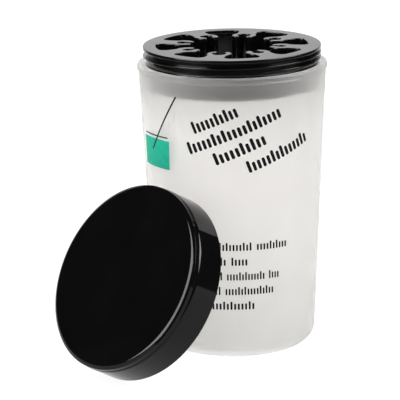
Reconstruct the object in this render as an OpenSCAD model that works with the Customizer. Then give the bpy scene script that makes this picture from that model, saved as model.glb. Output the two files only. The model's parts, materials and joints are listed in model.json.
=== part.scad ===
// Brush cleaning jar: a frosted cup, a black clip holder that drops into its mouth, and a screw lid.
// The lid is off and leans against the cup. Millimetres, +Z up, origin at the centre of the cup's base.

/* [Cup] */
// Height of the cup, from its base to the top of its rim
cup_h = 113.5; // [100:0.5:125]
// Outer radius of the cup at its rim
rim_r = 37; // [36.8:0.1:38]
// Outer radius that the tapered wall has at the base
base_r = 31.3; // [29:0.1:34]
// Radius of the round between the base and the wall
base_round = 7.8; // [4:0.1:9]
// Thickness of the cup's wall
cup_wall = 1.8; // [1.4:0.1:2]
// Thickness of the cup's floor
cup_floor = 2.4; // [1.8:0.1:4]
// How far the rim's outer bead stands proud of the wall
bead_out = 0.35; // [0.2:0.05:0.6]
// Height of the rim, with its bead outside and its flange inside
rim_h = 2.3; // [2:0.1:3]

/* [Clip holder] */
// Height of the holder above the cup's rim
holder_up = 6.9; // [6.5:0.1:9]
// Outer radius of the holder's top ring and of its thread's crest
crest_r = 35.1; // [34.9:0.1:35.2]
// Outer radius of the holder's smooth neck and skirt
neck_r = 33.3; // [33:0.1:33.4]
// Inner radius of the holder's neck and skirt
neck_bore_r = 31.5; // [31:0.1:31.8]
// Inner radius of the holder's top ring
ring_bore_r = 30; // [29.5:0.1:30.5]
// Thickness of the holder's top ring
ring_h = 1.3; // [1:0.1:1.5]
// How far the skirt reaches down below the cup's rim
skirt_down = 9.3; // [8:0.1:12]
// Gap between the holder and the cup's flange, on the radius
slide_gap = 0.3; // [0.3:0.05:0.5]
// How far the holder's stop bead stands proud of its neck
stop_out = 0.8; // [0.6:0.1:1]
// Height of the stop bead, sunk into the rim
stop_h = 0.8; // [0.6:0.1:1]

/* [Brush clips] */
// Distance from the jar's axis to the centre of each clip's hole
clip_r = 20; // [19.5:0.1:20.6]
// Direction of the first clip, in degrees from +X
clip_phase = 30; // [0:1:44]
// Height of the clips, down from the top ring
clip_h = 14; // [8:0.5:15]
// Outer radius of a clip's round head
head_r = 4.8; // [4.6:0.1:5.2]
// Width of the stem that joins a clip to the ring
stem_w = 7.6; // [6:0.1:8.5]
// Radius of the fillets where the stem meets the ring
stem_fillet = 3; // [2:0.1:3.5]
// Radius of the rounded tip of each finger
tip_r = 1.1; // [0.9:0.1:1.3]
// Width of a clip's mouth, as a share of its hole's diameter
mouth_share = 0.56; // [0.5:0.02:0.65]

/* [Lid] */
// Height of the lid
lid_h = 15; // [14:0.1:17]
// Outer radius of the lid at its open rim
lid_r = 37.5; // [37.4:0.1:38]
// Outer radius of the lid's upper part, above the shoulder
lid_top_r = 37.1; // [36.6:0.1:37.1]
// Radius of the round between the lid's face and its side
face_round = 1.1; // [1:0.1:2]
// Distance from the face down to the shoulder on the lid's side
shoulder_down = 3.1; // [2.6:0.1:5]
// Inner radius of the lid
lid_bore_r = 35.5; // [35.4:0.1:35.6]
// Thickness of the lid's flat face
lid_top_t = 1.8; // [1.4:0.1:2.4]

/* [Threads] */
// Rise of the thread in one turn
pitch = 2.1; // [2:0.05:2.3]
// Number of turns of the holder's thread
neck_turns = 1.7; // [1:0.1:1.7]
// Number of turns of the lid's thread
lid_turns = 1.3; // [1:0.1:1.5]
// Direction in which the holder's thread starts, at its lower end
thread_start = -70; // [-180:5:180]

/* [Lid's place] */
// Distance from the jar's axis to the point of the lid's rim that stands on the surface
foot_r = 70.5; // [70.5:0.05:110]
// Direction of that point from the jar's axis, in degrees from +X
foot_az = -131.9; // [-134:0.1:-130]
// Direction that the lid's face looks in, in degrees from +X
lean_az = -139.1; // [-141:0.1:-137]
// How far the lid's face is tilted up from facing sideways
lean_el = 28.3; // [26:0.1:28.3]

/* [Hidden] */
$fn = 120;

clip_count = 8;
clip_names = [for (i = [1 : clip_count]) str("brush_clip_", i)];

// Radius of each clip's hole, counter-clockwise from the first clip: wide and narrow brush handles.
hole_radii = [2.4, 2.6, 2.4, 2.2, 1.9, 2.7, 2.2, 1.7];

taper = atan((rim_r - base_r) / cup_h);
flange_bore_r = neck_r + slide_gap;
stop_r = neck_r + stop_out;
stop_z = cup_h - stop_h;
rim_round = 0.45;
mouth_chamfer = 0.4;

ring_top = cup_h + holder_up;
ring_z = ring_top - ring_h;
skirt_z = cup_h - skirt_down;
ring_edge = 0.4;
skirt_chamfer = 0.5;
clip_z = ring_top - clip_h;

// How far the centres of the stem's fillets stand back, so that the fillets run out into the ring's bore.
fillet_setback = 0.6;

// The thread's ridge: half of its height at the root and at the crest, and how deep its root is buried.
// The holder's thread starts thread_drop below the top ring.
root_half = 0.72;
crest_half = 0.25;
root_buried = 0.6;
thread_drop = 5.3;
thread_z = ring_top - thread_drop;
thread_step = 6;
fade_deg = 24;

shoulder_step = 0.3;
shoulder_round = 0.3;
lid_thread_depth = 1.2;
lid_thread_z = 2.2;
lid_rim_round = 0.5;

// How high the rounded rim would hang above the surface, if its sharp corner were set on it.
foot_lift = lid_rim_round * (cos(lean_el) + sin(lean_el) - 1);

// The rib inside the lid lands on the holder's top ring when the lid is screwed down.
rib_r = 32.6;
rib_t = 1.1;
rib_z = holder_up;

black_plastic = [0.03, 0.03, 0.03];
frosted_plastic = [0.9, 0.9, 0.89];

// Where the vertical centre line of a base round runs, so that the round meets floor and wall smoothly.
function round_x(r0, cr) = r0 + cr * tan(taper) - cr / cos(taper);

// Half section of a tapered pot with a rounded base corner, standing on z = 0.
module pot_section(r0, h, cr) {
    x0 = round_x(r0, cr);
    union() {
        polygon([
            [0, 0],
            [x0, 0],
            [x0, cr],
            [x0 + cr * cos(taper), cr - cr * sin(taper)],
            [r0 + h * tan(taper), h],
            [0, h]
        ]);
        translate([x0, cr]) circle(r = cr);
    }
}

// A bar of rectangular half section, from radius r0 to r1 and from z0 to z1.
module band_section(r0, r1, z0, z1) {
    translate([r0, z0]) square([r1 - r0, z1 - z0]);
}

// One ring of four corners of a thread's ridge, at the given turn of the helix.
function ridge_corners(a, z, root_r, top_r, root_h, top_h) = [
    [root_r * cos(a), root_r * sin(a), z - root_h],
    [top_r * cos(a), top_r * sin(a), z - top_h],
    [top_r * cos(a), top_r * sin(a), z + top_h],
    [root_r * cos(a), root_r * sin(a), z + root_h]
];

// How much of its full height the ridge has, t degrees from its start, in a thread of the given length.
function ridge_fade(t, total) = max(0.02, min(1, t / fade_deg, (total - t) / fade_deg));

// A helical ridge. Its root is buried at root_r, and it stands out to wall_r + depth, or in if depth < 0.
module thread_ridge(wall_r, depth, turns, start, z0) {
    total = 360 * turns;
    steps = ceil(total / thread_step);
    root_r = wall_r - sign(depth) * root_buried;
    rings = [
        for (i = [0 : steps])
            let (t = total * i / steps, f = ridge_fade(t, total))
            ridge_corners(start + t, z0 + pitch * t / 360, root_r,
                wall_r + depth * f - sign(depth) * root_buried * (1 - f) / 2, root_half, crest_half)
    ];
    points = [for (ring = rings) each ring];
    inward = depth < 0;
    sides = [
        for (i = [0 : steps - 1], k = [0 : 3])
            let (a = 4 * i + k, b = 4 * i + (k + 1) % 4)
            each inward
                ? [[a, a + 4, b + 4], [a, b + 4, b]]
                : [[a, b + 4, a + 4], [a, b, b + 4]]
    ];
    last = 4 * steps;
    ends = inward
        ? [[0, 1, 2], [0, 2, 3], [last, last + 2, last + 1], [last, last + 3, last + 2]]
        : [[0, 2, 1], [0, 3, 2], [last, last + 1, last + 2], [last, last + 2, last + 3]];
    polyhedron(points = points, faces = concat(sides, ends), convexity = 6);
}

// The frosted cup: tapered wall, beaded rim, and an inner flange with a rebate for the holder's stop bead.
module cup() {
    color(frosted_plastic)
    rotate_extrude()
    difference() {
        union() {
            pot_section(base_r, cup_h, base_round);
            band_section(rim_r - cup_wall, rim_r + bead_out, cup_h - rim_h + rim_round, cup_h - rim_round);
            band_section(rim_r - cup_wall, rim_r + bead_out - rim_round, cup_h - rim_h, cup_h);
            for (z = [cup_h - rim_h + rim_round, cup_h - rim_round])
                translate([rim_r + bead_out - rim_round, z]) circle(r = rim_round);
        }
        intersection() {
            translate([0, cup_floor])
                pot_section(base_r - cup_wall + cup_floor * tan(taper), cup_h, base_round - cup_wall);
            band_section(0, rim_r, 0, cup_h - rim_h);
        }
        band_section(0, flange_bore_r, cup_h - rim_h - 1, cup_h + 1);
        band_section(0, stop_r + slide_gap, stop_z, cup_h + 1);
        translate([stop_r + slide_gap, cup_h - mouth_chamfer])
            polygon([[-1, 0], [0, 0], [2 * mouth_chamfer, 2 * mouth_chamfer], [-1, 2 * mouth_chamfer]]);
    }
}

// The black threaded ring: top ring, neck with its thread, stop bead, and the skirt inside the cup.
module collar() {
    color(black_plastic)
    union() {
        rotate_extrude()
        union() {
            difference() {
                band_section(neck_bore_r, neck_r, skirt_z, ring_top - ring_h / 2);
                translate([neck_r, skirt_z])
                    polygon([[-skirt_chamfer, -1], [1, -1], [1, 1 + skirt_chamfer], [0, skirt_chamfer],
                        [-skirt_chamfer, 0]]);
            }
            band_section(neck_r - 1, stop_r, stop_z, cup_h);
            band_section(ring_bore_r, crest_r - ring_edge, ring_z, ring_top);
            band_section(ring_bore_r, crest_r, ring_z + ring_edge, ring_top - ring_edge);
            for (z = [ring_z + ring_edge, ring_top - ring_edge])
                translate([crest_r - ring_edge, z]) circle(r = ring_edge);
        }
        thread_ridge(neck_r, crest_r - neck_r, neck_turns, thread_start, thread_z);
    }
}

// Plan of one clip along +X: a stem from the ring, and a round head that opens towards the jar's axis.
module clip_plan(hole_r) {
    mouth = 2 * hole_r * mouth_share;
    tip_x = clip_r - sqrt(pow(head_r - tip_r, 2) - pow(mouth / 2 + tip_r, 2));
    difference() {
        union() {
            translate([clip_r, 0]) circle(r = head_r);
            translate([clip_r, -stem_w / 2]) square([neck_bore_r - clip_r, stem_w]);
            translate([ring_bore_r - stem_fillet, -stem_w / 2 - stem_fillet])
                square([neck_bore_r - ring_bore_r + stem_fillet, stem_w + 2 * stem_fillet]);
        }
        for (side = [-1, 1])
            translate([ring_bore_r - stem_fillet - fillet_setback, side * (stem_w / 2 + stem_fillet)])
                circle(r = stem_fillet);
        translate([clip_r, 0]) circle(r = hole_r);
        translate([clip_r - 2 * head_r, -mouth / 2]) square([2 * head_r, mouth]);
        translate([clip_r - 2 * head_r, -head_r]) square([2 * head_r - (clip_r - tip_x), 2 * head_r]);
    }
    for (side = [-1, 1])
        translate([tip_x, side * (mouth / 2 + tip_r)]) circle(r = tip_r);
}

// One clip, turned to its place on the holder. It ends where the collar's own walls begin.
module brush_clip(index) {
    color(black_plastic)
    rotate([0, 0, clip_phase + 360 / clip_count * index])
    difference() {
        translate([0, 0, clip_z])
        linear_extrude(height = clip_h)
        intersection() {
            clip_plan(hole_radii[index]);
            circle(r = neck_bore_r);
        }
        translate([0, 0, ring_z])
        linear_extrude(height = ring_h + 1)
        difference() {
            circle(r = neck_bore_r + 1);
            circle(r = ring_bore_r);
        }
    }
}

// Half section of the lid, open side down on z = 0.
module lid_section() {
    shoulder_z = lid_h - shoulder_down;
    difference() {
        union() {
            polygon([
                [0, 0],
                [lid_r - lid_rim_round, 0],
                [lid_r - lid_rim_round, lid_rim_round],
                [lid_r, lid_rim_round],
                [lid_top_r + shoulder_step, shoulder_z - shoulder_round],
                [lid_top_r + shoulder_step - shoulder_round, shoulder_z],
                [lid_top_r, shoulder_z],
                [lid_top_r, lid_h - face_round],
                [lid_top_r - face_round, lid_h],
                [0, lid_h]
            ]);
            translate([lid_r - lid_rim_round, lid_rim_round]) circle(r = lid_rim_round);
            translate([lid_top_r - face_round, lid_h - face_round]) circle(r = face_round);
            translate([lid_top_r + shoulder_step - shoulder_round, shoulder_z - shoulder_round])
                circle(r = shoulder_round);
        }
        band_section(0, lid_bore_r, -1, lid_h - lid_top_t);
    }
    band_section(rib_r, rib_r + rib_t, rib_z, lid_h - lid_top_t / 2);
}

// The screw lid: a smooth cap with an inner thread and a sealing rib.
module lid_upright() {
    rotate_extrude() lid_section();
    thread_ridge(lid_bore_r, -lid_thread_depth, lid_turns, 0, lid_thread_z);
}

// The lid, off the jar: its open rim stands on the surface and leans on the cup, and its face looks out.
module lid() {
    color(black_plastic)
    rotate([0, 0, foot_az])
    translate([foot_r, 0, -foot_lift])
    rotate([0, 0, lean_az - foot_az])
    rotate([0, 90 - lean_el, 0])
    translate([-lid_r, 0, 0])
        lid_upright();
}

cup();
collar();
lid();
for (i = [0 : clip_count - 1]) {
    brush_clip(i);
}
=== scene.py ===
"""Looks of a brush cleaning jar: frosted cup with its print, black clip holder, and black screw lid."""
import json
import math

import bmesh
import bpy
from mathutils import Matrix, Vector


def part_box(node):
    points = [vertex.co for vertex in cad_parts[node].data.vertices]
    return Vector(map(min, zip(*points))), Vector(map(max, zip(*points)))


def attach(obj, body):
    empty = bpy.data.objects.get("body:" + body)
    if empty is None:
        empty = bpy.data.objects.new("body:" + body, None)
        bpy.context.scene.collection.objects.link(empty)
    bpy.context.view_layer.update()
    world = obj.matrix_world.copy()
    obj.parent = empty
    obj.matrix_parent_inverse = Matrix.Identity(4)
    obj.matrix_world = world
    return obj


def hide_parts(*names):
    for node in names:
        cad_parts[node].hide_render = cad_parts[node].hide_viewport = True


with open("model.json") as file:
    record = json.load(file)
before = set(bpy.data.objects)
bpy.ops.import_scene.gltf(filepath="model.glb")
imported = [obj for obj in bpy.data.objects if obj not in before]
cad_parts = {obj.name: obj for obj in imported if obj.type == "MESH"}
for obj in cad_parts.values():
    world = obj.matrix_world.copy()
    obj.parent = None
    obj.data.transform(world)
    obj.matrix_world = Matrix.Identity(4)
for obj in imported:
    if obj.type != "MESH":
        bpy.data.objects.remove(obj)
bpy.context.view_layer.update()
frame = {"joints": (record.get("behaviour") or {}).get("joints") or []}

# ---------------------------------------------------------------- sizes, in millimetres

MM = 0.001
TURN = 2 * math.pi

cup_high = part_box("cup")[1]
collar_low, collar_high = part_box("collar")

CUP_H = cup_high.z / MM
BEAD_R = cup_high.x / MM
RIM_R = 37.0
BASE_R = 31.3
BASE_ROUND = 7.8
CUP_WALL = 1.8
CUP_FLOOR = 2.4
RIM_H = 2.3
TAPER = math.atan((RIM_R - BASE_R) / CUP_H)

CREST_R = collar_high.x / MM
RING_TOP = collar_high.z / MM
SKIRT_Z = collar_low.z / MM
RING_H = 1.3
RING_BORE_R = 30.0
NECK_R = 33.3
NECK_BORE_R = 31.5
STOP_R = 34.1
STOP_H = 0.8
SLIDE_GAP = 0.3

CLIP_R = 20.0
CLIP_PHASE = math.radians(30)
CLIP_H = 14.0
HEAD_R = 4.8
STEM_HALF = 3.8
STEM_FILLET = 3.0
FILLET_BACK = 0.6
FILLET_X = RING_BORE_R - STEM_FILLET - FILLET_BACK
FILLET_END = math.radians(-6)
TIP_R = 1.1
MOUTH_SHARE = 0.56
HOLE_RADII = (2.4, 2.6, 2.4, 2.2, 1.9, 2.7, 2.2, 1.7)
WINDOW_GAP = 0.012  # radians between a clip's fillet and the window's outer arc

LID_H = 15.0
LID_R = 37.5
LID_TOP_R = 37.15
LID_LIP_R = 37.4
LID_BORE_R = 35.5
LID_TOP_T = 1.8
LID_RIM_ROUND = 0.5
CROWN_IN = 1.3
CROWN_DOWN = 0.85
CROWN_ROUND = 2.6
FACE_ROUND = 0.15
SHOULDER_DOWN = 2.3
SHOULDER_DRAFT = 0.1
SHOULDER_ROUND = 0.12
GROOVE_R = 36.95
GROOVE_DOWN = 2.5
GROOVE_ROUND = 0.06
LIP_DOWN = 3.1
LIP_ROUND = 1.8
RIB_R = 32.6
RIB_T = 1.1
RIB_Z = 6.9

PITCH = 2.1
NECK_TURNS = 1.7
LID_TURNS = 1.3
THREAD_START = math.radians(-70)
NECK_THREAD_Z = RING_TOP - 5.3
LID_THREAD_Z = 2.2
LID_THREAD_DEPTH = 1.2

LATHE_SEGMENTS = 192
BEVEL_STEPS = 4
EDGE_BEVEL = 0.28
HAIR = 0.02  # overlap or gap that keeps two faces from lying on each other
SHARP_EDGE = math.radians(32)  # faces that meet at a larger angle keep a hard edge

FLOOR_FRONT = 330
FLOOR_HALF = 420
FLOOR_LENGTH = 6000

# The print. The panel and the two lines are (place round the wall, height, slope, length, thickness,
# corner radius), a row of the title is (place round the wall, height, slope in degrees, length,
# strokes), and a row of the text is (length, strokes in each of its groups).
PRINT_LIFT = 0.05
PANEL = (-46.2, 75.6, 0, 18.3, 11.5, 0.2)
LEVEL_LINE = (-45.3, 88.1, 0, 16.6, 0.5, 0.1)
SLANTED_LINE = (-38.2, 82.4, math.radians(57.6), 27.2, 0.65, 0.2)
TITLE_STROKE_H = 3.8
TITLE_GAP = 0.38
TITLE_ROWS = (
    (-15.6, 91.5, 22.6, 19.0, 10),
    (-17.6, 83.2, 21.2, 39.6, 19),
    (-6.9, 79.4, 21.8, 21.3, 10),
    (5.9, 76.2, 20.2, 28.3, 14),
)
TEXT_STROKE_H = 2.55
TEXT_GAP = 0.46
TEXT_LEFT = -24.0
TEXT_TOP = 45.0
TEXT_STEP = 6.0
TEXT_ROWS = (
    (45.1, (8, 14, 10)),
    (28.5, (11, 3, 5)),
    (41.5, (9, 6, 13, 4)),
    (39.0, (15, 16)),
    (31.1, (9, 12)),
)

# ---------------------------------------------------------------- looks, camera (metres, radians) and light

NOISE_LOW = 0.3  # a noise texture's values lie mostly between these two
NOISE_HIGH = 0.7
# Painted shade: the cup's colour at each share of its height, darker towards the base and rim in place of the
# shade that falls there.
CUP_PAINTED_SHADE_TONES = ((0, 0.76), (0.12, 0.83), (0.4, 0.885), (0.78, 0.885), (0.92, 0.82), (1, 0.86))
CUP_WARMTH = (1, 0.988, 0.972)

CAMERA_PLACE = (-0.0135, -1.171, 0.3404)
CAMERA_DOWN = 0.237
CAMERA_ROLL = -0.016
CAMERA_LENS = 272.3
LIGHT_AIM = (0, 0, 0.06)
WORLD_IN_GLOSS = 0.05


# ---------------------------------------------------------------- outlines

def arc(cx, cy, radius, start, end, step=math.radians(6)):
    """Points on an arc from angle start to angle end, both included."""
    count = max(2, math.ceil(abs(end - start) / step))
    angles = [start + (end - start) * i / count for i in range(count + 1)]
    return [(cx + radius * math.cos(a), cy + radius * math.sin(a)) for a in angles]


def rounded(corners, closed):
    """The outline through corners (x, y, radius), each corner replaced with an arc of its radius."""
    out = []
    count = len(corners)
    for i, (x, y, radius) in enumerate(corners):
        if radius == 0 or (not closed and i in (0, count - 1)):
            out.append((x, y))
            continue
        here = Vector((x, y))
        before = (Vector(corners[i - 1][:2]) - here).normalized()
        after = (Vector(corners[(i + 1) % count][:2]) - here).normalized()
        half = before.angle(after) / 2
        reach = radius / math.tan(half)
        centre = here + (before + after).normalized() * radius / math.sin(half)
        p, q = here + before * reach - centre, here + after * reach - centre
        start = math.atan2(p.y, p.x)
        sweep = (math.atan2(q.y, q.x) - start + math.pi) % TURN - math.pi
        out += arc(centre.x, centre.y, radius, start, start + sweep)
    return out


def wall_r(z):
    """Outer radius of the cup's tapered wall at height z."""
    return BASE_R + z * math.tan(TAPER)


# ---------------------------------------------------------------- meshes

def make_object(name, bm):
    """A smooth-shaded object from a bmesh in millimetres, with its hard edges kept."""
    bmesh.ops.remove_doubles(bm, verts=bm.verts, dist=0.0005)
    bmesh.ops.recalc_face_normals(bm, faces=bm.faces)
    bmesh.ops.scale(bm, verts=bm.verts, vec=(MM, MM, MM))
    mesh = bpy.data.meshes.new(name)
    bm.to_mesh(mesh)
    bm.free()
    mesh.shade_smooth()
    mesh.set_sharp_from_angle(angle=SHARP_EDGE)
    obj = bpy.data.objects.new(name, mesh)
    bpy.context.scene.collection.objects.link(obj)
    return obj


def lathe(outline, closed):
    """A bmesh turned round Z. An open outline starts and ends on the axis."""
    bm = bmesh.new()
    turn = [TURN * k / LATHE_SEGMENTS for k in range(LATHE_SEGMENTS)]
    rings = []
    for r, z in outline:
        if r < 1e-6:
            rings.append([bm.verts.new((0, 0, z))] * LATHE_SEGMENTS)
            continue
        rings.append([bm.verts.new((r * math.cos(a), r * math.sin(a), z)) for a in turn])
    pairs = list(zip(rings, rings[1:])) + ([(rings[-1], rings[0])] if closed else [])
    for lower, upper in pairs:
        for k in range(LATHE_SEGMENTS):
            j = (k + 1) % LATHE_SEGMENTS
            corners = list(dict.fromkeys((lower[k], lower[j], upper[j], upper[k])))
            if len(corners) > 2:
                bm.faces.new(corners)
    return bm


def offset_loop(loop, distance):
    """The loop moved sideways to its left by distance."""
    out = []
    count = len(loop)
    for i in range(count):
        a, b, c = (Vector(loop[(i + k) % count]) for k in (-1, 0, 1))
        u, v = (b - a).normalized(), (c - b).normalized()
        side = Vector((-u.y, u.x)) + Vector((-v.y, v.x))
        side.normalize()
        stretch = max(0.5, side.dot(Vector((-u.y, u.x))))
        out.append(tuple(b + side * distance / stretch))
    return out


def prism(loops, low, high, round_high=True):
    """An upright bmesh prism with rounded edges. Each loop has its solid on its left."""
    bm = bmesh.new()
    quarter = [math.pi / 2 * k / BEVEL_STEPS for k in range(BEVEL_STEPS + 1)]
    levels = [(EDGE_BEVEL * (1 - math.sin(a)), low + EDGE_BEVEL * (1 - math.cos(a))) for a in quarter]
    if round_high:
        levels += [(EDGE_BEVEL * (1 - math.cos(a)), high - EDGE_BEVEL * (1 - math.sin(a))) for a in quarter]
    else:
        levels.append((0, high))
    caps = {0: [], len(levels) - 1: []}
    for loop in loops:
        rings = [[bm.verts.new((x, y, z)) for x, y in offset_loop(loop, d)] for d, z in levels]
        for lower, upper in zip(rings, rings[1:]):
            for k in range(len(loop)):
                j = (k + 1) % len(loop)
                bm.faces.new((lower[k], lower[j], upper[j], upper[k]))
        for level, edges in caps.items():
            ring = rings[level]
            edges += [bm.edges.get((ring[k - 1], ring[k])) for k in range(len(ring))]
    for edges in caps.values():
        bmesh.ops.triangle_fill(bm, edges=edges, use_beauty=True, use_dissolve=False)
    return bm


def thread(wall, depth, turns, start, z0):
    """A bmesh helix with a rounded ridge, buried in the wall, that fades out at both ends."""
    buried, root_half, crest_half, crest_round = 0.5, 0.72, 0.3, 0.22
    step, fade = math.radians(3), math.radians(24)
    sign = math.copysign(1, depth)
    height = abs(depth) + buried
    section = rounded([(0, -root_half, 0), (height, -crest_half, crest_round),
                       (height, crest_half, crest_round), (0, root_half, 0)], True)
    bm = bmesh.new()
    total = TURN * turns
    count = math.ceil(total / step)
    rings = []
    for i in range(count + 1):
        t = total * i / count
        share = max(0.02, min(1, t / fade, (total - t) / fade))
        share = share * share * (3 - 2 * share)
        lowered = (1 - share) * abs(depth)
        ring = []
        for out, up in section:
            r = wall + sign * (min(out, height) * (height - lowered) / height - buried)
            angle = start + t
            ring.append(bm.verts.new((r * math.cos(angle), r * math.sin(angle), z0 + PITCH * t / TURN + up)))
        rings.append(ring)
    for a, b in zip(rings, rings[1:]):
        for k in range(len(section)):
            j = (k + 1) % len(section)
            bm.faces.new((a[k], a[j], b[j], b[k]))
    bm.faces.new(rings[0])
    bm.faces.new(rings[-1])
    return bm


def fuse(target, others):
    """Joins the other objects to target as one solid and deletes them."""
    for other in others:
        modifier = target.modifiers.new("fuse", "BOOLEAN")
        modifier.operation = "UNION"
        modifier.solver = "EXACT"
        modifier.object = other
        evaluated = target.evaluated_get(bpy.context.evaluated_depsgraph_get())
        shaped = bpy.data.meshes.new_from_object(evaluated)
        target.modifiers.clear()
        target.data = shaped
        bpy.data.objects.remove(other)
    return target


def settle_normals(obj):
    """Keeps wide flat faces flat in the shading, next to small rounds."""
    obj.data.shade_smooth()
    obj.data.set_sharp_from_angle(angle=SHARP_EDGE)
    weighted = obj.modifiers.new("even_normals", "WEIGHTED_NORMAL")
    weighted.keep_sharp = True


# ---------------------------------------------------------------- the cup

def make_cup():
    """Tapered wall with a rounded base, beaded rim, and the inner flange with the holder's rebate."""
    under = CUP_H - RIM_H
    outline = rounded([
        (0, 0, 0),
        (BASE_R, 0, BASE_ROUND),
        (wall_r(under), under, 0.25),
        (BEAD_R, under, 0.5),
        (BEAD_R, CUP_H, 0.6),
        (STOP_R + SLIDE_GAP, CUP_H, 0.3),
        (STOP_R + SLIDE_GAP, CUP_H - STOP_H, 0.1),
        (NECK_R + SLIDE_GAP, CUP_H - STOP_H, 0.15),
        (NECK_R + SLIDE_GAP, under, 0.3),
        (wall_r(under) - CUP_WALL, under, 0.4),
        (wall_r(CUP_FLOOR) - CUP_WALL, CUP_FLOOR, BASE_ROUND - CUP_WALL),
        (0, CUP_FLOOR, 0),
    ], False)
    return make_object("frosted_cup", lathe(outline, False))


# ---------------------------------------------------------------- the clip holder

def clip_half(hole_r, shrink):
    """Half of a clip's outline, from the far side of its hole to its stem's fillet, clip along +X."""
    head, tip, stem = HEAD_R - shrink, TIP_R - shrink, STEM_HALF - shrink
    fillet, hole = STEM_FILLET + shrink, hole_r + shrink
    mouth = hole_r * MOUTH_SHARE
    tip_y = mouth + TIP_R
    tip_x = CLIP_R - math.sqrt((HEAD_R - TIP_R) ** 2 - tip_y ** 2)
    lip = mouth + shrink
    meet = math.atan2(tip_y, tip_x - CLIP_R)
    fine = math.radians(15)
    points = arc(CLIP_R, 0, hole, 0, math.pi - math.asin(lip / hole))
    points += arc(tip_x, tip_y, tip, math.radians(270), meet, fine)
    points += arc(CLIP_R, 0, head, meet, math.asin(stem / head))[1:]
    points += arc(FILLET_X, STEM_HALF + STEM_FILLET, fillet, math.radians(-90), FILLET_END)
    return points


def turned(points, angle):
    """The points turned round the origin."""
    c, s = math.cos(angle), math.sin(angle)
    return [(x * c - y * s, x * s + y * c) for x, y in points]


def mirrored(points):
    """The points mirrored in the X axis, in reverse order."""
    return [(x, -y) for x, y in reversed(points)]


def window_loop():
    """The whole opening of the top ring, round all eight clips, with the solid on its left."""
    loop = []
    count = len(HOLE_RADII)
    for i, hole_r in enumerate(HOLE_RADII):
        angle = CLIP_PHASE + TURN * i / count
        half = clip_half(hole_r, 0)
        loop += turned(mirrored(half)[:-1] + half, angle)
        end = math.atan2(half[-1][1], half[-1][0])
        loop += arc(0, 0, RING_BORE_R, angle + end + WINDOW_GAP, angle + TURN / count - end - WINDOW_GAP)
    return loop[::-1]


def make_top_ring():
    """The flat ring with the clips' outlines in its opening."""
    circle = arc(0, 0, CREST_R, 0, TURN, TURN / LATHE_SEGMENTS)[:-1]
    return make_object("top_ring", prism([circle, window_loop()], RING_TOP - RING_H, RING_TOP))


def make_neck(top):
    """The neck, stop bead and skirt, up to the given height."""
    outline = rounded([
        (NECK_BORE_R, SKIRT_Z, 0.4),
        (NECK_R, SKIRT_Z, 0.5),
        (NECK_R, CUP_H - STOP_H, 0),
        (STOP_R, CUP_H - STOP_H, 0.15),
        (STOP_R, CUP_H, 0.3),
        (NECK_R, CUP_H, 0.25),
        (NECK_R, top, 0),
        (NECK_BORE_R, top, 0),
    ], True)
    return make_object("clip_holder", lathe(outline, True))


def make_clip_body(index, hole_r, top):
    """The part of one clip that reaches down from the top ring, with its back inside the neck's wall."""
    half = clip_half(hole_r, HAIR)
    wall_middle = (NECK_BORE_R + NECK_R) / 2
    span = math.asin(half[-1][1] / wall_middle)
    back = arc(0, 0, wall_middle, span, -span)
    outline = mirrored(half)[:-1] + half + back
    loop = turned(outline, CLIP_PHASE + TURN * index / len(HOLE_RADII))[::-1]
    return make_object(f"clip_body_{index + 1}", prism([loop], RING_TOP - CLIP_H, top, round_high=False))


def make_holder():
    """Threaded neck, top ring and clips, as the one moulding that they are."""
    buried = RING_TOP - RING_H / 2
    ring = make_top_ring()
    neck = make_neck(buried)
    ridge = thread(NECK_R, CREST_R - NECK_R, NECK_TURNS, THREAD_START, NECK_THREAD_Z)
    parts = [ring, make_object("neck_thread", ridge)]
    for index, hole_r in enumerate(HOLE_RADII):
        parts.append(make_clip_body(index, hole_r, buried))
    holder = fuse(neck, parts)
    settle_normals(holder)
    return holder


# ---------------------------------------------------------------- the lid

def lean(lid):
    """Moves the lid from upright on the origin to where its joint says that its rim stands."""
    tip = next(j for j in frame["joints"] if j["name"] == "lid_tip")
    hinge = Vector(tip["axis"]).normalized()
    facing = hinge.cross(Vector((0, 0, 1)))
    tilt = math.radians(tip["range_deg"][1])
    up = facing * math.cos(tilt) + Vector((0, 0, math.sin(tilt)))
    down = facing * math.sin(tilt) - Vector((0, 0, math.cos(tilt)))
    turn = Matrix((down, up.cross(down), up)).transposed()
    corner = Vector((LID_R - LID_RIM_ROUND, 0, LID_RIM_ROUND)) * MM
    place = turn.to_4x4()
    place.translation = Vector(tip["pos_m"]) - turn @ corner
    lid.data.transform(place)


def make_lid():
    """The screw lid: crowned face, groove and lip on its edge, sealing rib, and inner thread."""
    top_in = LID_H - LID_TOP_T
    outline = rounded([
        (0, LID_H, 0),
        (LID_TOP_R - CROWN_IN, LID_H, CROWN_ROUND),
        (LID_TOP_R, LID_H - CROWN_DOWN, FACE_ROUND),
        (LID_TOP_R + SHOULDER_DRAFT, LID_H - SHOULDER_DOWN, SHOULDER_ROUND),
        (GROOVE_R, LID_H - GROOVE_DOWN, GROOVE_ROUND),
        (LID_LIP_R, LID_H - LIP_DOWN, LIP_ROUND),
        (LID_R, 0, LID_RIM_ROUND),
        (LID_BORE_R, 0, 0.5),
        (LID_BORE_R, top_in, 0.8),
        (RIB_R + RIB_T, top_in, 0.4),
        (RIB_R + RIB_T, RIB_Z, 0.3),
        (RIB_R, RIB_Z, 0.3),
        (RIB_R, top_in, 0.4),
        (0, top_in, 0),
    ], False)
    lid = make_object("screw_lid", lathe(outline, False))
    ridge = make_object("lid_thread", thread(LID_BORE_R, -LID_THREAD_DEPTH, LID_TURNS, 0, LID_THREAD_Z))
    fuse(lid, [ridge])
    settle_normals(lid)
    lean(lid)
    return lid


# ---------------------------------------------------------------- the print

def on_wall(along, z, lift):
    """A point of the cup's wall: along is the distance round the wall from the front, to the right."""
    r = wall_r(z) + lift
    angle = along / wall_r(z)
    return (r * math.sin(angle), -r * math.cos(angle), z)


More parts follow.
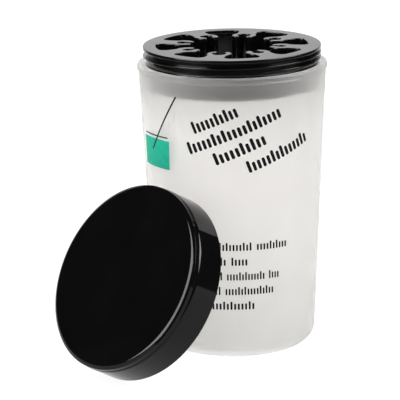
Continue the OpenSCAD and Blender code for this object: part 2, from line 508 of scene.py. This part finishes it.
def ink_bar(bm, along, z, tilt, length, height, corner, lift):
    """A bar of ink with rounded corners, wrapped on the wall. Its lower left corner is at (along, z)."""
    cell = 0.7
    corner = min(corner, length / 2, height / 2)
    ends = [corner * (1 - math.cos(math.pi / 2 * k / BEVEL_STEPS)) for k in range(BEVEL_STEPS + 1)]
    inner = max(1, math.ceil((length - 2 * corner) / cell))
    middle = [corner + (length - 2 * corner) * k / inner for k in range(1, inner)]
    columns = ends + middle + [length - u for u in reversed(ends)]
    rows = max(1, math.ceil(height / cell))
    c, s = math.cos(tilt), math.sin(tilt)
    sheets = []
    for layer in (lift, -HAIR):
        sheet = []
        for u in columns:
            near = min(u, length - u, corner)
            drop = corner - math.sqrt(max(0, corner ** 2 - (corner - near) ** 2))
            column = []
            for k in range(rows + 1):
                v = drop + (height - 2 * drop) * k / rows
                column.append(bm.verts.new(on_wall(along + u * c - v * s, z + u * s + v * c, layer)))
            sheet.append(column)
        sheets.append(sheet)
    top, bottom = sheets
    last = len(columns) - 1
    for i in range(last):
        for k in range(rows):
            bm.faces.new((top[i][k], top[i + 1][k], top[i + 1][k + 1], top[i][k + 1]))
            bm.faces.new((bottom[i][k + 1], bottom[i + 1][k + 1], bottom[i + 1][k], bottom[i][k]))
        bm.faces.new((bottom[i][0], bottom[i + 1][0], top[i + 1][0], top[i][0]))
        bm.faces.new((top[i][rows], top[i + 1][rows], bottom[i + 1][rows], bottom[i][rows]))
    for i in (0, last):
        for k in range(rows):
            bm.faces.new((top[i][k], top[i][k + 1], bottom[i][k + 1], bottom[i][k]))


def ink_words(bm, along, z, tilt, length, height, words, gap):
    """A row of plain upright strokes, in groups, that stands for a line of print. It spells nothing."""
    word_gap, tall_share, corner_share = 1.2, 1.32, 0.3
    pitch = length / (sum(words) - gap + word_gap * (len(words) - 1))
    c, s = math.cos(tilt), math.sin(tilt)
    u = 0
    number = 0
    for word in words:
        for _ in range(word):
            tall = height * (tall_share if number % 7 in (0, 5) else 1)
            ink_bar(bm, along + u * c, z + u * s, tilt, pitch * (1 - gap), tall, corner_share * pitch,
                    PRINT_LIFT)
            u += pitch
            number += 1
        u += word_gap * pitch


def make_prints():
    """A green panel, a level line, a slanted line, a slanted title of strokes, and rows of strokes."""
    panel = bmesh.new()
    ink_bar(panel, *PANEL, PRINT_LIFT)
    green = make_object("print_panel", panel)
    marks = bmesh.new()
    ink_bar(marks, *LEVEL_LINE, PRINT_LIFT)
    ink_bar(marks, *SLANTED_LINE, 2 * PRINT_LIFT)
    for along, z, slope, length, strokes in TITLE_ROWS:
        ink_words(marks, along, z, math.radians(slope), length, TITLE_STROKE_H, (strokes,), TITLE_GAP)
    for row, (length, words) in enumerate(TEXT_ROWS):
        ink_words(marks, TEXT_LEFT, TEXT_TOP - TEXT_STEP * row, 0, length, TEXT_STROKE_H, words, TEXT_GAP)
    black = make_object("print_marks", marks)
    return green, black


# ---------------------------------------------------------------- materials

def material(name, color, **sockets):
    """A Principled material with the given constant sockets, and its nodes for adding detail."""
    made = bpy.data.materials.new(name)
    made.use_nodes = True
    shader = made.node_tree.nodes["Principled BSDF"]
    shader.inputs["Base Color"].default_value = (*color, 1)
    for key, value in sockets.items():
        shader.inputs[key.replace("_", " ")].default_value = value
    return made, made.node_tree, shader


def noise(tree, scale, detail=4, distortion=0.0):
    """A noise texture fixed to the object."""
    coords = tree.nodes.new("ShaderNodeTexCoord")
    texture = tree.nodes.new("ShaderNodeTexNoise")
    texture.inputs["Scale"].default_value = scale
    texture.inputs["Detail"].default_value = detail
    texture.inputs["Distortion"].default_value = distortion
    tree.links.new(coords.outputs["Object"], texture.inputs["Vector"])
    return texture.outputs["Fac"]


def spread(tree, source, low, high):
    """A value that varies from low to high with the noise in source."""
    ranged = tree.nodes.new("ShaderNodeMapRange")
    ranged.inputs["From Min"].default_value = NOISE_LOW
    ranged.inputs["From Max"].default_value = NOISE_HIGH
    ranged.inputs["To Min"].default_value = low
    ranged.inputs["To Max"].default_value = high
    tree.links.new(source, ranged.inputs["Value"])
    return ranged.outputs["Result"]


def tint(tree, source, low, high):
    """A colour that varies from low to high with the noise in source."""
    ramp = tree.nodes.new("ShaderNodeValToRGB")
    ramp.color_ramp.elements[0].position = NOISE_LOW
    ramp.color_ramp.elements[0].color = (*low, 1)
    ramp.color_ramp.elements[1].position = NOISE_HIGH
    ramp.color_ramp.elements[1].color = (*high, 1)
    tree.links.new(source, ramp.inputs["Fac"])
    return ramp.outputs["Color"]


def bump(tree, shader, source, distance, strength):
    """Fine relief from the noise in source."""
    node = tree.nodes.new("ShaderNodeBump")
    node.inputs["Distance"].default_value = distance
    node.inputs["Strength"].default_value = strength
    tree.links.new(source, node.inputs["Height"])
    tree.links.new(node.outputs["Normal"], shader.inputs["Normal"])


def painted_shade_by_height(tree):
    """Painted shade: a colour that darkens towards the cup's base and, less so, towards its rim, in place of
    the shade that falls there.
    """
    parts = tree.nodes.new("ShaderNodeSeparateXYZ")
    coords = tree.nodes.new("ShaderNodeTexCoord")
    share = tree.nodes.new("ShaderNodeMath")
    share.operation = "DIVIDE"
    share.inputs[1].default_value = CUP_H * MM
    ramp = tree.nodes.new("ShaderNodeValToRGB")
    tree.links.new(coords.outputs["Object"], parts.inputs[0])
    tree.links.new(parts.outputs["Z"], share.inputs[0])
    tree.links.new(share.outputs[0], ramp.inputs["Fac"])
    stops = ramp.color_ramp.elements
    for height, _ in CUP_PAINTED_SHADE_TONES[1:-1]:
        stops.new(height)
    for stop, (_, tone) in zip(stops, CUP_PAINTED_SHADE_TONES):
        stop.color = (*(share * tone for share in CUP_WARMTH), 1)
    return ramp.outputs["Color"]


def times(tree, first, second):
    """Two colours multiplied."""
    mix = tree.nodes.new("ShaderNodeMix")
    mix.data_type = "RGBA"
    mix.blend_type = "MULTIPLY"
    mix.inputs["Factor"].default_value = 1
    colours = [socket for socket in mix.inputs if socket.type == "RGBA"]
    tree.links.new(first, colours[0])
    tree.links.new(second, colours[1])
    return next(socket for socket in mix.outputs if socket.type == "RGBA")


def frosted_plastic():
    """Translucent plastic, clouded and finely grained, with painted shade that darkens its colour towards its
    base and rim.
    """
    made, tree, shader = material("frosted_polypropylene", (0.93, 0.92, 0.90), IOR=1.4,
                                  Transmission_Weight=0.95, Specular_IOR_Level=0.3)
    cloud = tint(tree, noise(tree, 60, 3), (0.965, 0.965, 0.965), (0.995, 0.995, 0.995))
    # Painted shade: the colour darkens towards the cup's base and rim.
    tree.links.new(times(tree, cloud, painted_shade_by_height(tree)), shader.inputs["Base Color"])
    tree.links.new(spread(tree, noise(tree, 300), 0.55, 0.66), shader.inputs["Roughness"])
    bump(tree, shader, noise(tree, 2600, 2), 0.00004, 0.35)
    return made


def black_plastic(name, low, high, grain, gloss):
    """Black moulded plastic with faint flow clouds in its gloss and a fine grain."""
    made, tree, shader = material(name, (0.003, 0.003, 0.0032), IOR=1.49, Specular_IOR_Level=gloss)
    cloud = noise(tree, 45, 5, 0.4)
    colour = tint(tree, cloud, (0.0024, 0.0024, 0.0026), (0.0036, 0.0036, 0.0038))
    tree.links.new(colour, shader.inputs["Base Color"])
    tree.links.new(spread(tree, cloud, low, high), shader.inputs["Roughness"])
    bump(tree, shader, noise(tree, 900, 3), 0.00003, grain)
    return made


def ink(name, low, high):
    """Screen print ink: slightly uneven colour and gloss."""
    made, tree, shader = material(name, high, IOR=1.5, Specular_IOR_Level=0.05)
    patch = noise(tree, 420, 3)
    tree.links.new(tint(tree, patch, low, high), shader.inputs["Base Color"])
    tree.links.new(spread(tree, patch, 0.38, 0.5), shader.inputs["Roughness"])
    bump(tree, shader, noise(tree, 2200, 2), 0.00003, 0.2)
    return made


def paint(obj, look):
    """Gives the object one material."""
    obj.data.materials.clear()
    obj.data.materials.append(look)


# ---------------------------------------------------------------- camera, floor and light

def make_camera():
    """A long lens, in front of the object and above it, looking slightly down."""
    camera = bpy.data.objects.new("camera", bpy.data.cameras.new("camera"))
    bpy.context.scene.collection.objects.link(camera)
    camera.location = CAMERA_PLACE
    aim = Matrix.Rotation(math.pi / 2 - CAMERA_DOWN, 4, "X") @ Matrix.Rotation(CAMERA_ROLL, 4, "Z")
    camera.matrix_world = Matrix.Translation(camera.location) @ aim
    camera.data.sensor_width = 36
    camera.data.lens = CAMERA_LENS
    camera.data.clip_end = 20
    bpy.context.scene.camera = camera


def make_floor():
    """A pale sheet that ends in front of the object, where the black plastic would mirror it."""
    bm = bmesh.new()
    bmesh.ops.create_grid(bm, x_segments=8, y_segments=8, size=1)
    bmesh.ops.scale(bm, verts=bm.verts, vec=(FLOOR_HALF, FLOOR_LENGTH / 2, 1))
    bmesh.ops.translate(bm, verts=bm.verts, vec=(0, FLOOR_LENGTH / 2 - FLOOR_FRONT, 0))
    floor = make_object("floor", bm)
    look, tree, shader = material("floor_paper", (0.15, 0.15, 0.15), Roughness=0.9, Emission_Strength=0.92)
    shader.inputs["Emission Color"].default_value = (1, 1, 1, 1)
    tree.links.new(tint(tree, noise(tree, 30), (0.14, 0.14, 0.14), (0.16, 0.16, 0.16)),
                   shader.inputs["Base Color"])
    paint(floor, look)


def area_light(name, place, width, height, radiance, in_gloss):
    """A soft box that shows only in gloss, or else only lights what is matt. Radiance 1 is white."""
    data = bpy.data.lights.new(name, "AREA")
    data.shape = "RECTANGLE"
    data.size = width
    data.size_y = height
    data.energy = radiance * math.pi * width * height
    light = bpy.data.objects.new(name, data)
    light.location = place
    light.rotation_euler = (Vector(LIGHT_AIM) - Vector(place)).to_track_quat("-Z", "Y").to_euler()
    light.visible_camera = False
    light.visible_glossy = in_gloss
    light.visible_diffuse = not in_gloss
    light.visible_transmission = not in_gloss
    bpy.context.scene.collection.objects.link(light)


def soft_box(name, azimuth, elevation, distance, width, height, radiance):
    """A soft box that shows only in gloss. Azimuth turns from the front to the right."""
    a, e = math.radians(azimuth), math.radians(elevation)
    place = Vector((math.sin(a) * math.cos(e), -math.cos(a) * math.cos(e), math.sin(e))) * distance
    area_light(name, place, width, height, radiance, True)


def make_lights():
    """Two bright boxes for the streaks on the lid, two pale ones behind, and a key for the frosted cup."""
    soft_box("left_box", azimuth=-61, elevation=30, distance=1.5, width=1.0, height=1.35, radiance=16)
    soft_box("right_box", azimuth=78, elevation=38, distance=1.5, width=1.05, height=0.7, radiance=18)
    soft_box("backdrop", azimuth=180, elevation=16, distance=1.8, width=3.6, height=1.3, radiance=0.55)
    soft_box("backdrop_middle", azimuth=180, elevation=16, distance=1.75, width=1.9, height=1.1, radiance=0.5)
    area_light("key", (0.9, -1.2, 1.0), width=0.9, height=0.9, radiance=1.6, in_gloss=False)


def make_world():
    """A white studio, which is nearly black in the gloss of plastic."""
    world = bpy.data.worlds.new("studio")
    world.use_nodes = True
    bpy.context.scene.world = world
    tree = world.node_tree
    tree.nodes.clear()
    path = tree.nodes.new("ShaderNodeLightPath")
    gloss_only = tree.nodes.new("ShaderNodeMath")
    gloss_only.operation = "SUBTRACT"
    gloss_only.use_clamp = True
    bright = tree.nodes.new("ShaderNodeBackground")
    bright.inputs["Color"].default_value = (1, 1, 1, 1)
    dark = tree.nodes.new("ShaderNodeBackground")
    dark.inputs["Color"].default_value = (1, 1, 1, 1)
    dark.inputs["Strength"].default_value = WORLD_IN_GLOSS
    mix = tree.nodes.new("ShaderNodeMixShader")
    out = tree.nodes.new("ShaderNodeOutputWorld")
    tree.links.new(path.outputs["Is Glossy Ray"], gloss_only.inputs[0])
    tree.links.new(path.outputs["Is Transmission Ray"], gloss_only.inputs[1])
    tree.links.new(gloss_only.outputs[0], mix.inputs[0])
    tree.links.new(bright.outputs[0], mix.inputs[1])
    tree.links.new(dark.outputs[0], mix.inputs[2])
    tree.links.new(mix.outputs[0], out.inputs["Surface"])


# ---------------------------------------------------------------- the whole

make_camera()
make_floor()
make_lights()
make_world()
bpy.context.scene.view_settings.view_transform = "Standard"

cup = make_cup()
paint(cup, frosted_plastic())
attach(cup, "cup")
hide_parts("cup")

holder = make_holder()
paint(holder, black_plastic("black_holder_plastic", 0.12, 0.2, 0.2, 0.32))
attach(holder, "holder")
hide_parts("collar", *(f"brush_clip_{i + 1}" for i in range(len(HOLE_RADII))))

lid = make_lid()
paint(lid, black_plastic("black_lid_plastic", 0.05, 0.1, 0.1, 0.15))
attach(lid, "lid")
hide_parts("lid")

panel, marks = make_prints()
paint(panel, ink("green_ink", (0.012, 0.46, 0.30), (0.02, 0.52, 0.35)))
paint(marks, ink("black_ink", (0.006, 0.006, 0.007), (0.012, 0.012, 0.013)))
for piece, slot in ((panel, "print_green"), (marks, "print_black")):
    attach(piece, "cup")
